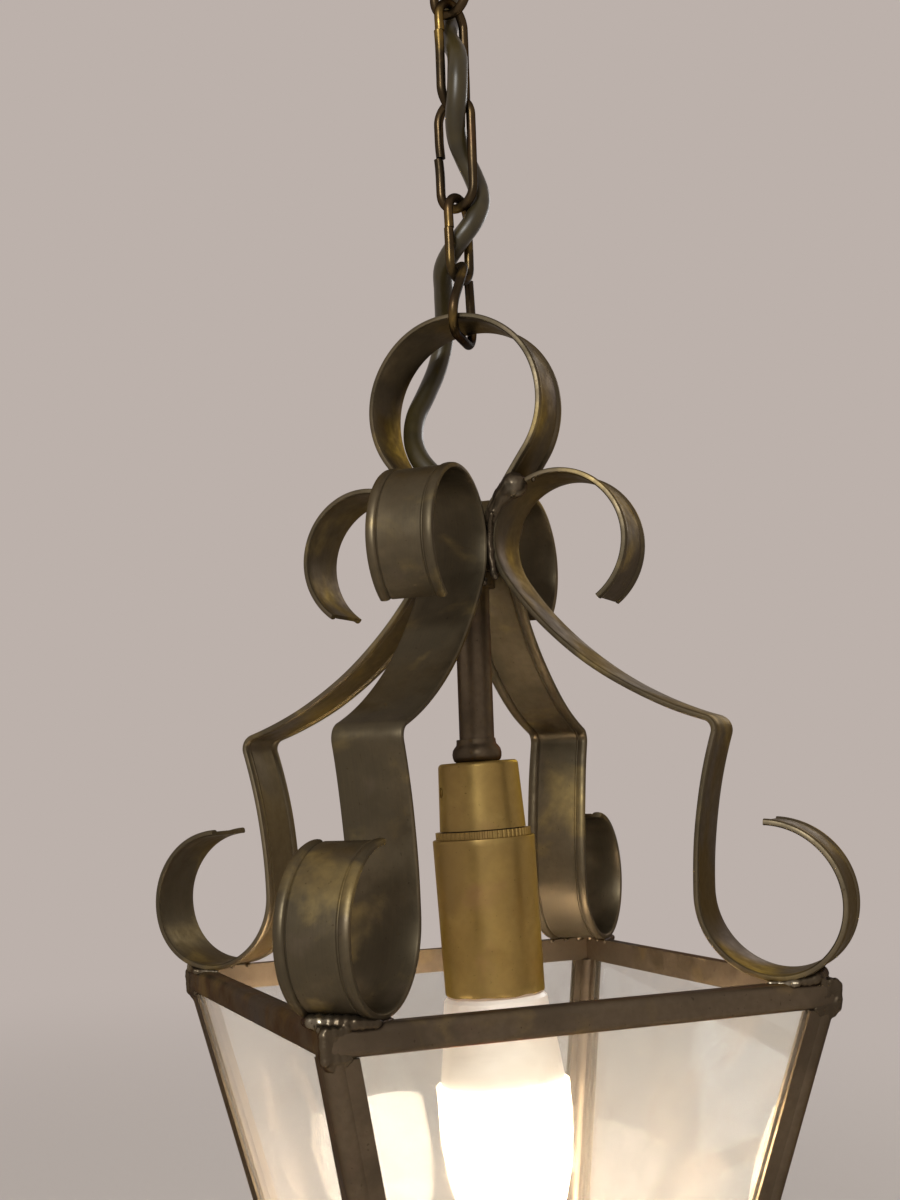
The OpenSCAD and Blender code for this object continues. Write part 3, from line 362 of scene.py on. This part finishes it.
def bend_state(state, bend, share):
    """The place and the heading after this share of a bend"""
    x, y, heading = state
    reach, sweep, turn = bend
    if turn == 0:
        return (x + share * reach * cos(radians(heading)), y + share * reach * sin(radians(heading)), heading)
    after = heading + turn * sweep * share
    return (x + turn * reach * (sin(radians(after)) - sin(radians(heading))),
            y - turn * reach * (cos(radians(after)) - cos(radians(heading))), after)


def bent_way(bends, start, step=1.0):
    """States along a bent way, about a step apart and at most 7 degrees"""
    state = start
    found = [start]
    for bend in bends:
        reach, sweep, turn = bend
        length = reach * radians(sweep) if turn else reach
        count = max(ceil(length / step), ceil(sweep / 7), 1)
        found += [bend_state(state, bend, k / count) for k in range(1, count + 1)]
        state = found[-1]
    return found


def upright(states, turn, z, moved=Matrix()):
    """Places on a way drawn in a plane that stands upright, turned by a compass angle: the
    outline's first axis lies to the right of the way and its second across the plane. What is
    moved in the plane's own axes is moved first"""
    plane = (Matrix.Translation((0, 0, z)) @ Matrix.Rotation(radians(turn), 4, "Z")
             @ Matrix.Rotation(radians(90), 4, "X"))
    places = []
    for x, y, heading in states:
        c, s = cos(radians(heading)), sin(radians(heading))
        places.append(plane @ moved @ Matrix(((s, 0, c, x), (-c, 0, s, y), (0, 1, 0, 0), (0, 0, 0, 1))))
    return places


# Brass strip: one face flat with soft corners, a rounded bead and a narrow groove along each edge of the other

HALF_T = STRIP_T / 2
HALF_W = STRIP_W / 2
STRIP_HALF = [
    (-HALF_T, 3.2), (-HALF_T, 6.4), (-HALF_T, 9.1), (-HALF_T + 0.1, 9.45), (-HALF_T + 0.35, 9.7), (0.3, 9.7),
    (0.75, 9.56), (1, 9.15), (1.1, 8.3), (1.02, 7.45), (0.76, 6.95), (0.32, 6.7), (0.34, 6.45),
    (HALF_T, 6.2), (HALF_T, 3.2)
]
STRIP = STRIP_HALF + [(right, -across) for right, across in reversed(STRIP_HALF)]

SCROLL_BENDS = [
    (19.8, 124.7, 1), (18.4, 142.9, 1), (103.4, 38.7, 1), (3.7, 89.8, -1),
    (147.4, 16.5, 1), (20.9, 76.8, 1), (17.8, 88.5, 1), (20.7, 102.6, 1)
]
SCROLL_START = (40.595, -16.039, 35.9)

RING_R = 25.8
RING_FOOT_R = 14
RING_LEAN = 35
RING_SWEEP = 125
RING_LEG = 6
RING_LEG_X = 8.55
RING_STRAIGHT = ((RING_R * cos(radians(RING_LEAN)) - RING_LEG_X - RING_FOOT_R * (1 - cos(radians(RING_LEAN))))
                 / sin(radians(RING_LEAN)))
RING_DROP = ((RING_R + RING_FOOT_R) * sin(radians(RING_LEAN)) + RING_STRAIGHT * cos(radians(RING_LEAN))
             + RING_LEG)
RING_BENDS = [
    (RING_LEG, 0, 0), (RING_FOOT_R, RING_LEAN, 1), (RING_STRAIGHT, 0, 0), (RING_R, 2 * RING_SWEEP, -1),
    (RING_STRAIGHT, 0, 0), (RING_FOOT_R, RING_LEAN, 1), (RING_LEG, 0, 0)
]


def make_strips():
    for corner, turn in CORNERS.items():
        bm = swept(STRIP, upright(bent_way(SCROLL_BENDS, SCROLL_START), turn, HUB_Z))
        uneven(bm, 0.12, 16)
        piece("scroll_strip_" + corner, bm, "strip_brass", "lantern", ["scroll_" + corner])
    way = bent_way(RING_BENDS, (-RING_LEG_X, -RING_DROP, 90))
    beads_left = [(-right, across) for right, across in STRIP]
    bm = swept(beads_left, upright(way, -45, RING_Z))
    uneven(bm, 0.2, 16)
    piece("ring_strip", bm, "strip_brass", "lantern", ["hanging_ring"])


# Chain and hook: round wire, bent and left open at a butt joint that doesn't quite meet

CHAIN = [
    # length, width, compass angle, upper wire centre, offset of the two cut ends, their height above the middle
    (36.2, 14.9, -59.5, -48.55, 0.35, 0),
    (36.2, 14.9, 30.5, -78.9, 0.3, 6),
    (36.2, 14.9, -59.5, -109.25, 0.45, 0),
    (27.9, 13, 34, -139.6, 0.2, 2),
]
LINK_SPLIT = 0.3
END_REACH = 7


def make_chain():
    for number, (length, width, turn, top, offset, joint) in enumerate(CHAIN, 1):
        pitch = length - WIRE_D
        bend_r = (width - WIRE_D) / 2
        leg = pitch / 2 - bend_r
        bends = [(leg + joint, 0, 0), (bend_r, 180, 1), (2 * leg, 0, 0), (bend_r, 180, 1),
                 (leg - joint - LINK_SPLIT, 0, 0)]
        way = bent_way(bends, (-bend_r, joint, -90), 0.7)
        ends = []
        for i, (x, y, heading) in enumerate(way):
            share = max(0, 1 - abs(y - joint) / END_REACH) if x < -bend_r + 0.01 else 0
            side = -1 if i < len(way) / 2 else 1
            ends.append((x + side * offset * share ** 2, y, heading))
        bm = swept(circle(WIRE_D / 2, 20), upright(ends, turn, top - pitch / 2))
        uneven(bm, 0.06, 6)
        piece("link_wire_%d" % number, bm, "chain_brass", "link_%d" % number, ["chain_link_%d" % number], 50)


# The hook's free leg and bottom stand upright. Its other leg leans about the bottom wire, and the top
# bend is twisted about that leg
HOOK_TURN = 52.7
HOOK_LEAN = 6.1
HOOK_TWIST = 44
HOOK_FREE = [(13.5, 0, 0), (6.4, 98, -1), (11.2, 0, 0)]
HOOK_LEG = [(6.4, 123.753, -1), (10.677, 0, 0)]
HOOK_TOP = [(6, 111.247, -1)]
HOOK_START = (10.059, 20.66, -82)


def make_hook():
    free = bent_way(HOOK_FREE, HOOK_START, 0.7)
    leg = bent_way(HOOK_LEG, free[-1], 0.7)
    top = bent_way(HOOK_TOP, leg[-1], 0.7)
    x, y, heading = leg[-1]
    lean = Matrix.Rotation(radians(HOOK_LEAN), 4, "X")
    at = Matrix.Translation((x, y, 0))
    along = Vector((cos(radians(heading)), sin(radians(heading)), 0))
    twist = at @ Matrix.Rotation(radians(HOOK_TWIST), 4, along) @ at.inverted()
    # The outline is turned back by the twist, so that the wire's skin runs on straight
    back = Matrix.Rotation(radians(HOOK_TWIST), 4, "Z")
    places = upright(free, HOOK_TURN, HOOK_Z) + upright(leg[1:], HOOK_TURN, HOOK_Z, lean)
    places += [place @ back for place in upright(top[1:], HOOK_TURN, HOOK_Z, lean @ twist)]
    bm = swept(circle(WIRE_D / 2, 20), places)
    uneven(bm, 0.05, 6)
    piece("hook_wire", bm, "chain_brass", "hook_link", ["hook_link"], 50)


# Flex: centre line from the terminal block to the lampholder

ROUTE = [Vector(point) for point in (
    (8, 15, -18.5), (8, 15, -26), (8, 15, -33), (7.5, 14, -45), (6.5, 13.5, -55),
    (6, 13, -64), (5, 11.5, -73), (3, 8.5, -81), (0, 3, -88), (-0.5, -4.5, -96.5),
    (-1.5, -7, -104), (-1.8, -6.5, -111), (-1.5, -4, -117), (0.3, -1, -122), (3.4, 0.8, -127),
    (5.8, 0.8, -132), (7, -0.2, -137), (6.4, -1.4, -142), (3.5, -2, -147.5), (-0.2, 0.7, -153),
    (-2, 7.5, -158.5), (0.5, 14.5, -164), (2.5, 19.5, -171), (2.5, 21.5, -178), (0.5, 22.5, -186),
    (-3.5, 21.5, -194), (-8, 19.5, -202), (-10.5, 15.5, -210), (-10.5, 10.5, -217), (-7.5, 6, -223),
    (-3.5, 2.5, -228), (-1.2, 0.8, -232), (0, 0, -237), (0, 0, -246), (0, 0, -262),
    (0, 0, -278), (0, 0, -294), (0, 0, HOLDER_Z - 2.9)
)]
# Each stretch of the flex runs between two bodies, from its upper cut to its lower one
FLEX_STRETCHES = [
    ("ceiling_fitting", "link_1", -42, -65), ("link_1", "link_2", -65, -97), ("link_2", "link_3", -97, -126),
    ("link_3", "link_4", -126, -152), ("link_4", "hook_link", -152, -171), ("hook_link", "lantern", -171, -200)
]


def flex_points(shares=6):
    """Points on a smooth curve through the whole route"""
    last = len(ROUTE) - 1
    points = []
    for i in range(last):
        a, b, c, d = ROUTE[max(i - 1, 0)], ROUTE[i], ROUTE[i + 1], ROUTE[min(i + 2, last)]
        for k in range(shares):
            t = k / shares
            points.append(b + t * (c - a) / 2 + t * t * (a - 2.5 * b + 2 * c - d / 2)
                          + t ** 3 * (1.5 * (b - c) + (d - a) / 2))
    return points + [ROUTE[last]]


def carried(points):
    """Places along points in space, turned with the way but never twisted about it"""
    ways = [(after - before).normalized() for before, after in
            zip([points[0]] + points[:-1], points[1:] + [points[-1]])]
    turn = ways[0].to_track_quat("Z", "Y")
    places = []
    for i, point in enumerate(points):
        turn = (ways[i - 1].rotation_difference(ways[i]) @ turn) if i else turn
        places.append(Matrix.Translation(point) @ turn.to_matrix().to_4x4())
    return places


def make_flex():
    places = carried(flex_points())
    heights = [place.translation.z for place in places]
    first = 0
    for upper, lower, start, end in FLEX_STRETCHES:
        last = len(places) - 1 if lower == "lantern" else min(i for i, z in enumerate(heights) if z <= end)
        bm = swept(circle(FLEX_D / 2, 24), places[first:last + 1])
        made = piece("flex_%s_to_%s" % (upper, lower), bm, "flex_sheath", replaces=["flex"], sharp=60)
        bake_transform(made)
        first = last


# Turned and spun pieces of the lampholder, drawn upright below their own origin and leaned about it

LEAN = 2.3
LEAN_TURN = -22.7


def leaned():
    return (Matrix.Translation((0, 0, HOLDER_Z)) @ Matrix.Rotation(radians(LEAN_TURN), 4, "Z")
            @ Matrix.Rotation(radians(-LEAN), 4, "Y"))


def spun(profile, steps=96):
    """Spins a closed profile of radius and height about the upright axis"""
    bm = bmesh.new()
    points = [bm.verts.new((radius, 0, z)) for radius, z in profile]
    edges = [bm.edges.new((points[i - 1], points[i])) for i in range(len(points))]
    bmesh.ops.spin(bm, geom=points + edges, cent=(0, 0, 0), axis=(0, 0, 1), angle=2 * pi, steps=steps,
                   use_merge=True)
    bmesh.ops.recalc_face_normals(bm, faces=bm.faces)
    return bm


SKIRT_TOP = -21.3
SKIRT_LEN = 43.4


def make_holder():
    collar = [(5.4, 0), (6.1, 0), (6.7, 0.5), (7, 1.4), (7.05, 2.4), (6.8, 3.5), (6.2, 4.4), (5.75, 4.9),
              (5.6, 5.6), (5.6, 6.2), (5.5, 6.5), (5.4, 6.5)]
    bm = spun(collar)
    uneven(bm, 0.15, 4)
    bmesh.ops.transform(bm, matrix=leaned(), verts=bm.verts)
    piece("collar_bulge", bm, "stem_brass", "lantern", ["holder_collar"])

    outer = [(14.5 - 0.5 * k / 24, SKIRT_TOP - 0.5 - (SKIRT_LEN - 0.8) * k / 24) for k in range(25)]
    inner = [(13.2, z) for radius, z in reversed(outer[1:])]
    skirt = ([(10.85, SKIRT_TOP - 0.05), (14.1, SKIRT_TOP - 0.05), (14.4, SKIRT_TOP - 0.2)] + outer
             + [(13.85, SKIRT_TOP - SKIRT_LEN), (13.4, SKIRT_TOP - SKIRT_LEN)] + inner
             + [(13.2, SKIRT_TOP - 0.95), (10.85, SKIRT_TOP - 0.95)])
    bm = spun(skirt, 144)
    rim = SKIRT_TOP - SKIRT_LEN
    for point in bm.verts:
        near = max(0, 1 - (point.co.z - rim) / 3)
        wave = noise.noise((point.co.x / 5, point.co.y / 5, 3.7))
        point.co.z += near * (0.25 + 0.35 * wave)
    bmesh.ops.transform(bm, matrix=leaned(), verts=bm.verts)
    piece("skirt_shell", bm, "holder_brass", "skirt", ["holder_skirt"])


# Solder: drops that ran together and set in one smooth skin

def melted(name, drops, slot, body, replaces, skin=0.35):
    bm = bmesh.new()
    for at, radius in drops:
        made = bmesh.ops.create_icosphere(bm, subdivisions=2, radius=radius)
        bmesh.ops.translate(bm, vec=at, verts=made["verts"])
    uneven(bm, 0.3, 2.2)
    made = piece(name, bm, slot, body, replaces)
    remesh = made.modifiers.new("one_skin", "REMESH")
    remesh.mode = "VOXEL"
    remesh.voxel_size = skin * MM
    remesh.use_smooth_shade = True
    smooth = made.modifiers.new("melted", "SMOOTH")
    smooth.factor = 0.5
    smooth.iterations = 5
    return made


def round_axis(x, y, z, turn):
    return Matrix.Rotation(radians(turn), 3, "Z") @ Vector((x, y, z))


# A scroll's middle line round the hub, and the leg of the hanging ring beside it
HUB_CURL_R = 18.4
HUB_CURL_X = 28.985
LEG_BEND_RISE = 5.22
# Where the lower curl touches the rails, inwards from the case's corner, and the radius of its outer face
CURL_LOW = 84.38
CURL_OUT_R = 19
CORNER_ROW = ((0, 0.9, 1.4), (1.6, 0.7, 1.15), (3.2, 0.8, 1.1), (4.8, 0.9, 1.05), (6.4, 1, 1))


def curl_at(rise):
    """How far from the axis the middle line of a scroll lies, this far above or below the hub's middle"""
    return HUB_CURL_X - sqrt(HUB_CURL_R ** 2 - rise ** 2)


def hub_drops():
    drops = []
    # A thin seam in each valley where two scrolls meet, and a drop that hung from either of them
    for number, turn in enumerate((0, 90, 180, 270)):
        for k in range(17):
            rise = -8.8 + 1.1 * k
            wobble = noise.noise((number * 3.1, rise / 2.4, 0.4))
            at = round_axis(14.6 + 0.026 * rise * rise + 0.2 * wobble, 0.4 * wobble, HUB_Z + rise, turn)
            drops.append((at, 0.95 + 0.3 * wobble))
        for aside, rise, radius in ((-45, -10.6, 0.9), (-45, -9.6, 0.75), (45, -7.4, 0.8), (45, 9.2, 0.8)):
            side = 9.5 if aside < 0 else -9.5
            drops.append((round_axis(curl_at(rise) - 0.6, side, HUB_Z + rise, turn + aside), radius))
    # A ragged web between each leg of the hanging ring and the scroll beside it, where they part
    for turn in (-45, 135):
        for side in (-9.2, 9.2):
            for k in range(19 if side < 0 else 13):
                rise = 2.5 + 0.85 * k
                curl = curl_at(rise) - 0.7
                bent = asin(min(max(0, rise - LEG_BEND_RISE) / RING_FOOT_R, 0.57))
                past = max(0, rise - LEG_BEND_RISE - 0.57 * RING_FOOT_R)
                leg = RING_LEG_X + RING_FOOT_R * (1 - cos(bent)) + 0.7 * past + 0.7
                wobble = noise.noise((turn, side * 2.3, rise / 1.6))
                drops.append((round_axis(curl, side * 1.02 + 0.3 * wobble, HUB_Z + rise, turn),
                              1 + 0.35 * wobble - 0.02 * k))
                drops.append((round_axis(leg, side + 0.2 * wobble, HUB_Z + rise + 1.5, turn),
                              0.85 + 0.25 * wobble - 0.02 * k))
                if k < 18:
                    drops.append((round_axis((curl + leg) / 2, side * 0.98, HUB_Z + rise, turn),
                                  (curl - leg) / 2 + 0.5 + 0.3 * wobble))
    return drops


def corner_drops(turn, corner, height, top, rows):
    """A skin round the corner of two rails that draws in over the post, in rows from the top down.
    Each drop has a length along a rail's outer face from the corner, a depth and a radius"""
    drops = []
    for k in range(rows):
        rise = -1.6 - 1.1 * k
        below = max(0, -rise - height)
        over_joint = max(0, 1 - abs(rise + height + 0.4) / 2.2)
        for along, deep, radius in CORNER_ROW:
            if along > 6.5 - below * 1.5:
                continue
            pull = 0.012 * min(-rise, height) ** 2 + (0.6 if along else 1.3) * below
            for side in ((-1, 1) if along else (1,)):
                wobble = noise.noise((turn + side, along, rise / 2))
                out = corner - (along + deep) / sqrt(2) - pull
                drops.append((round_axis(out, side * (along - deep * (along > 0)) / sqrt(2), top + rise, turn),
                              radius + 0.2 * wobble + 0.2 * over_joint))
    return drops


def curl_drops(turn):
    """The broad fillet in the wedge between the rails' corner and the lower curl over it"""
    drops = []
    corner = CASE_HALF * sqrt(2)
    for k in range(10):
        out = corner - 5.4 - 1.2 * k
        away = max(0, out - CURL_LOW)
        room = CURL_OUT_R - sqrt(CURL_OUT_R ** 2 - away ** 2)
        reach = min(9.2, corner - out + 0.2)
        for share in (-1, -0.6, -0.2, 0.2, 0.6, 1):
            side = share * reach
            if abs(side) < corner - out - 8.2:
                continue
            wobble = noise.noise((turn, out / 2, side / 2))
            at = round_axis(out, side, RAIL_TOP + room / 2 - 0.2, turn)
            drops.append((at, 0.9 + room / 2 + 0.3 * wobble))
    # A low skin on the rails from the fillet out to the corner
    for k in range(4):
        for share in (-1, -0.33, 0.33, 1):
            side = share * (0.5 + 1.2 * k)
            wobble = noise.noise((turn, k, side))
            drops.append((round_axis(corner - 1.2 - 1.2 * k, side, RAIL_TOP - 0.45, turn), 0.95 + 0.2 * wobble))
    return drops


def make_solder():
    melted("hub_solder_seams", hub_drops(), "solder", "lantern", ["hub_solder"])
    drops = []
    for turn in CORNERS.values():
        drops += corner_drops(turn, CASE_HALF * sqrt(2), RAIL_H, RAIL_TOP, 8)
        drops += corner_drops(turn, FOOT_HALF * sqrt(2), FOOT_RAIL_H, FOOT_TOP, 3)
        drops += curl_drops(turn)
    melted("corner_solder_lumps", drops, "solder", "lantern", ["corner_solder"])


# Stage and light

WALL = "#bcb1ab"
FLOOR_DROP = 0.02


def seen_directly(tree):
    """1 for rays from the camera, and for those that mirror or show through something"""
    path = add(tree, "ShaderNodeLightPath")
    seen = add(tree, "ShaderNodeMath", {0: path.outputs["Is Camera Ray"], 1: path.outputs["Is Glossy Ray"]},
               operation="MAXIMUM")
    return add(tree, "ShaderNodeMath", {0: seen.outputs[0], 1: path.outputs["Is Transmission Ray"]},
               operation="MAXIMUM").outputs[0]


def make_stage():
    low = cad_box[0][2]
    bm = bmesh.new()
    bmesh.ops.create_grid(bm, x_segments=1, y_segments=1, size=40)
    bmesh.ops.translate(bm, verts=bm.verts, vec=(0, 0, low - FLOOR_DROP))
    mesh = bpy.data.meshes.new("floor")
    bm.to_mesh(mesh)
    bm.free()
    floor = bpy.data.objects.new("floor", mesh)
    bpy.context.scene.collection.objects.link(floor)
    material, tree = blank("matt_floor_paint")
    where = add(tree, "ShaderNodeTexCoord").outputs["Object"]
    flat = add(tree, "ShaderNodeVectorMath", {0: where, 1: (1, 1, 0)}, operation="MULTIPLY")
    away = add(tree, "ShaderNodeVectorMath", {0: flat.outputs[0]}, operation="LENGTH")
    far = add(tree, "ShaderNodeMapRange", {"Value": away.outputs["Value"], "From Min": 0.25, "From Max": 1.6},
              interpolation_type="SMOOTHSTEP")
    share = add(tree, "ShaderNodeMath", {0: far.outputs["Result"], 1: seen_directly(tree)}, operation="MULTIPLY")
    paint = add(tree, "ShaderNodeBsdfDiffuse", {"Color": "#cfc6c0"})
    wall = add(tree, "ShaderNodeEmission", {"Color": WALL, "Strength": 1})
    both = add(tree, "ShaderNodeMixShader", {0: share.outputs[0], 1: paint.outputs[0], 2: wall.outputs[0]})
    surface(tree, both.outputs[0])
    mesh.materials.append(material)

    world = bpy.data.worlds.new("studio")
    bpy.context.scene.world = world
    world.use_nodes = True
    tree = world.node_tree
    tree.nodes.clear()
    wall = add(tree, "ShaderNodeBackground", {"Color": WALL, "Strength": 1})
    fill = add(tree, "ShaderNodeBackground", {"Color": "#f4f0ec", "Strength": 0.5})
    both = add(tree, "ShaderNodeMixShader", {0: seen_directly(tree), 1: fill.outputs[0], 2: wall.outputs[0]})
    add(tree, "ShaderNodeOutputWorld", {"Surface": both.outputs[0]})


def add_light(name, at, size, watts, code="#ffffff"):
    data = bpy.data.lights.new(name, "AREA")
    data.shape = "DISK"
    data.size = size
    data.energy = watts
    data.color = colour(code)[:3]
    light = bpy.data.objects.new(name, data)
    bpy.context.scene.collection.objects.link(light)
    aim = Vector((0, 0, -0.33)) - Vector(at)
    light.rotation_euler = aim.to_track_quat("-Z", "Y").to_euler()
    light.location = at


place_camera()
finish_nodes()
make_flex()
make_chain()
make_hook()
make_strips()
make_holder()
make_solder()
make_stage()
add_light("key", (-0.9, -1.1, 0.35), 0.5, 14)
add_light("rim", (1.1, 0.8, 0.2), 0.6, 3)
bpy.context.scene.view_settings.view_transform = "Standard"
